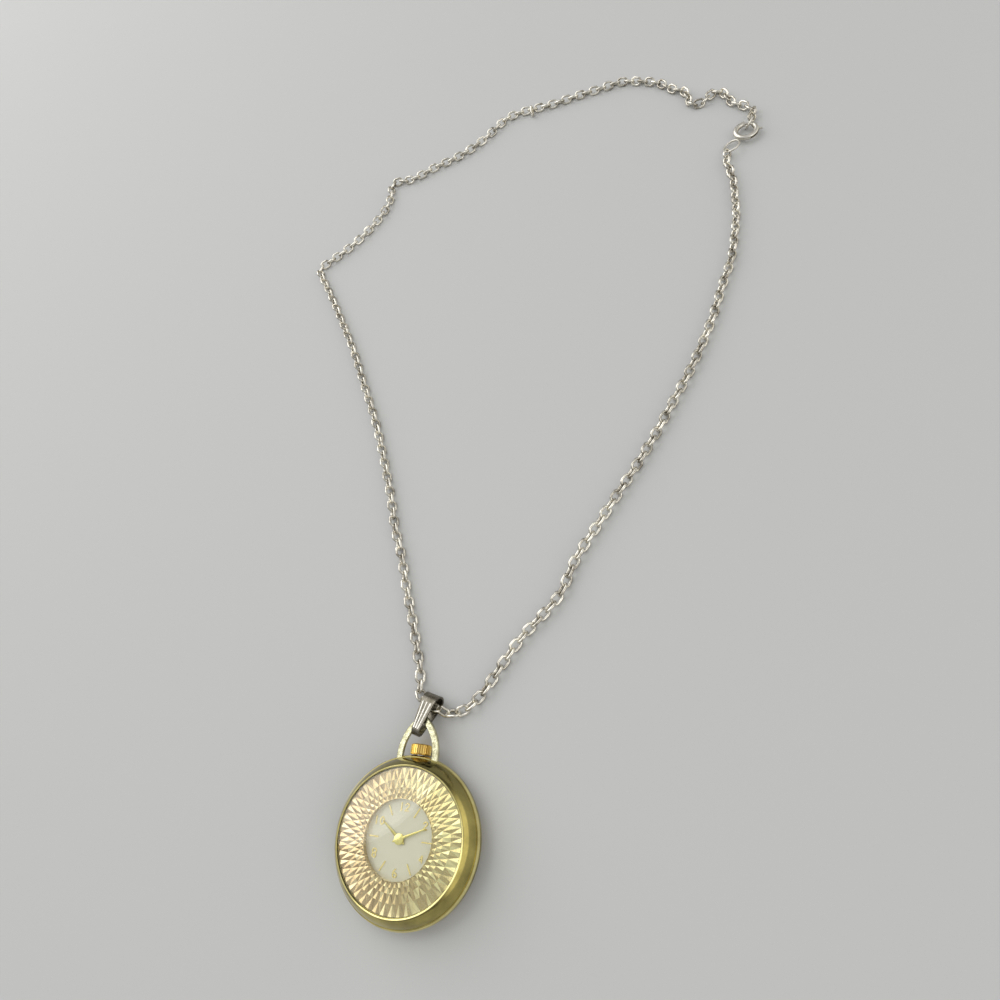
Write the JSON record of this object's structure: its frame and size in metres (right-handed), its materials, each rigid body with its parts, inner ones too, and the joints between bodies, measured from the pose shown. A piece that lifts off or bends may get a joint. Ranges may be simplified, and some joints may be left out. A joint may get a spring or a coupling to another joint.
{
  "type": "pendant watch",
  "caption": "Round hand-wound watch with a faceted ring and domed crystal, hung by a pointed arch and a ribbed bail on a long chain with a spring ring clasp.",
  "frame": {"origin": "centre of the case back's resting face", "axes": "+Z out of the dial, +Y towards twelve o'clock, the crown and the bail"},
  "size_m": [0.1516, 0.2612, 0.0095],
  "materials": {
    "case_gold": "polished yellow gold plating",
    "gasket": "black sealing ring",
    "crystal": "clear domed crystal",
    "facet_gold": "cut facets, champagne gold",
    "dial_cream": "silvered cream, fine satin",
    "marks_gold": "polished pale gold",
    "hands_gold": "polished yellow gold",
    "holder": "moulded",
    "plates": "nickel-plated brass",
    "wheels": "gilt brass",
    "steel": "fine steel",
    "ruby": "synthetic ruby",
    "crown_gold": "fluted, orange gold",
    "arch_gold": "pale gold, worn",
    "bail_pewter": "dark worn silver",
    "chain_silver": "warm nickel silver",
    "clasp_silver": "satin silver",
    "clasp_spring": "spring wire"
  },
  "bodies": {
    "watch_case": {"case_back": "case_gold", "back_gasket": "gasket", "case_middle": "case_gold", "bezel": "case_gold", "crystal": "crystal", "facet_ring": "facet_gold", "dial": "dial_cream", "hour_batons": "marks_gold", "hour_numerals": "marks_gold", "movement_holder": "holder", "main_plate": "plates", "barrel_bridge": "plates", "train_bridge": "plates", "pallet_bridge": "plates", "balance_cock": "plates", "bridge_screws": "steel", "jewel_bearings": "ruby", "crown_tube": "steel", "pendant_arch": "arch_gold", "hairspring": "steel", "crown_wheel_stud": "steel", "click_screw": "steel", "click_spring": "steel", "lever_screw": "steel", "chain_left_run": "chain_silver", "chain_right_run": "chain_silver", "clasp_ring": "clasp_silver", "clasp_spring": "clasp_spring", "closing_ring": "chain_silver", "split_ring": "chain_silver", "spare_link": "chain_silver"},
    "hour_work": {"hour_hand": "hands_gold", "hour_wheel": "wheels"},
    "minute_work": {"minute_hand": "hands_gold", "cannon_pinion": "steel"},
    "minute_wheel": {"minute_wheel": "wheels"},
    "barrel": {"mainspring_barrel": "wheels", "barrel_cover": "wheels", "mainspring": "steel"},
    "centre_wheel": {"centre_wheel": "wheels"},
    "third_wheel": {"third_wheel": "wheels"},
    "fourth_wheel": {"fourth_wheel": "wheels"},
    "escape_wheel": {"escape_wheel": "steel"},
    "pallet_fork": {"pallet_fork": "steel"},
    "balance": {"balance_wheel": "wheels"},
    "winding_pinions": {"winding_pinion": "steel", "sliding_pinion": "steel"},
    "crown_and_stem": {"crown": "crown_gold", "winding_stem": "steel"},
    "crown_wheel": {"crown_wheel": "steel"},
    "ratchet": {"ratchet_wheel": "steel", "barrel_arbor": "steel"},
    "click": {"click": "steel"},
    "setting_lever": {"setting_lever": "steel"},
    "bail": {"bail": "bail_pewter"},
    "clasp_bolt": {"clasp_bolt": "clasp_silver"}
  },
  "joints": [
    {"name": "minute_hand_turn", "type": "hinge", "parent": "watch_case", "child": "minute_work", "pos_m": [0, 0, 0.00708], "axis": [0, 0, 1], "continuous": true},
    {"name": "hour_hand_turn", "type": "hinge", "parent": "watch_case", "child": "hour_work", "pos_m": [0, 0, 0.00678], "axis": [0, 0, 1], "continuous": true},
    {"name": "minute_wheel_turn", "type": "hinge", "parent": "watch_case", "child": "minute_wheel", "pos_m": [0.00082, 0.00226, 0.00457], "axis": [0, 0, 1], "continuous": true},
    {"name": "fourth_wheel_turn", "type": "hinge", "parent": "watch_case", "child": "fourth_wheel", "pos_m": [-0.00279, -0.00404, 0.00275], "axis": [0, 0, 1], "continuous": true},
    {"name": "third_wheel_turn", "type": "hinge", "parent": "watch_case", "child": "third_wheel", "pos_m": [-0.00077, -0.00287, 0.00275], "axis": [0, 0, 1], "continuous": true},
    {"name": "centre_wheel_turn", "type": "hinge", "parent": "watch_case", "child": "centre_wheel", "pos_m": [0, 0, 0.00275], "axis": [0, 0, 1], "continuous": true},
    {"name": "barrel_turn", "type": "hinge", "parent": "watch_case", "child": "barrel", "pos_m": [-0.0032, 0.00185, 0.0029], "axis": [0, 0, 1], "continuous": true},
    {"name": "escape_wheel_turn", "type": "hinge", "parent": "watch_case", "child": "escape_wheel", "pos_m": [-0.00139, -0.00544, 0.00275], "axis": [0, 0, 1], "continuous": true},
    {"name": "pallet_fork_rock", "type": "hinge", "parent": "watch_case", "child": "pallet_fork", "pos_m": [0.0002, -0.00558, 0.00275], "axis": [0, 0, 1], "range_deg": [-4, 4]},
    {"name": "balance_swing", "type": "hinge", "parent": "watch_case", "child": "balance", "pos_m": [0.00384, -0.00348, 0.00275], "axis": [0, 0, 1], "range_deg": [-150, 150]},
    {"name": "crown_turn", "type": "hinge", "parent": "watch_case", "child": "winding_pinions", "pos_m": [0, 0.012, 0.00275], "axis": [0, 1, 0], "continuous": true},
    {"name": "crown_pull", "type": "slide", "parent": "winding_pinions", "child": "crown_and_stem", "axis": [0, 1, 0], "range_m": [0, 0.0008]},
    {"name": "crown_wheel_turn", "type": "hinge", "parent": "watch_case", "child": "crown_wheel", "pos_m": [0, 0.0043, 0.00123], "axis": [0, 0, 1], "continuous": true},
    {"name": "ratchet_turn", "type": "hinge", "parent": "watch_case", "child": "ratchet", "pos_m": [-0.0032, 0.00185, 0.00123], "axis": [0, 0, 1], "continuous": true},
    {"name": "click_lift", "type": "hinge", "parent": "watch_case", "child": "click", "pos_m": [-0.00586, 0.00008, 0.00114], "axis": [0, 0, -1], "range_deg": [0, 6]},
    {"name": "setting_lever_turn", "type": "hinge", "parent": "watch_case", "child": "setting_lever", "pos_m": [0.0019, 0.0075, 0.00355], "axis": [0, 0, 1], "range_deg": [-25, 0]},
    {"name": "bail_rock", "type": "hinge", "parent": "watch_case", "child": "bail", "pos_m": [0.00082, 0.02931, 0.00255], "axis": [-0.9613, 0.2756, 0], "range_deg": [-3, 3]},
    {"name": "clasp_bolt_slide", "type": "hinge", "parent": "watch_case", "child": "clasp_bolt", "pos_m": [0.0773, 0.205, 0.0015], "axis": [0, 0, -1], "range_deg": [0, 62], "stiffness_Nm_per_rad": 0.003, "springref_deg": -17.19}
  ],
  "couplings": [
    {"joint": "hour_hand_turn", "follows": "minute_hand_turn", "ratio": 0.083333},
    {"joint": "minute_wheel_turn", "follows": "minute_hand_turn", "ratio": -0.33333},
    {"joint": "third_wheel_turn", "follows": "fourth_wheel_turn", "ratio": -0.13333},
    {"joint": "centre_wheel_turn", "follows": "fourth_wheel_turn", "ratio": 0.016667},
    {"joint": "barrel_turn", "follows": "fourth_wheel_turn", "ratio": -0.0026042},
    {"joint": "escape_wheel_turn", "follows": "fourth_wheel_turn", "ratio": -10},
    {"joint": "crown_wheel_turn", "follows": "crown_turn", "ratio": 0.45714},
    {"joint": "ratchet_turn", "follows": "crown_turn", "ratio": -0.34783},
    {"joint": "setting_lever_turn", "follows": "crown_pull", "rad_per_m": -526}
  ]
}
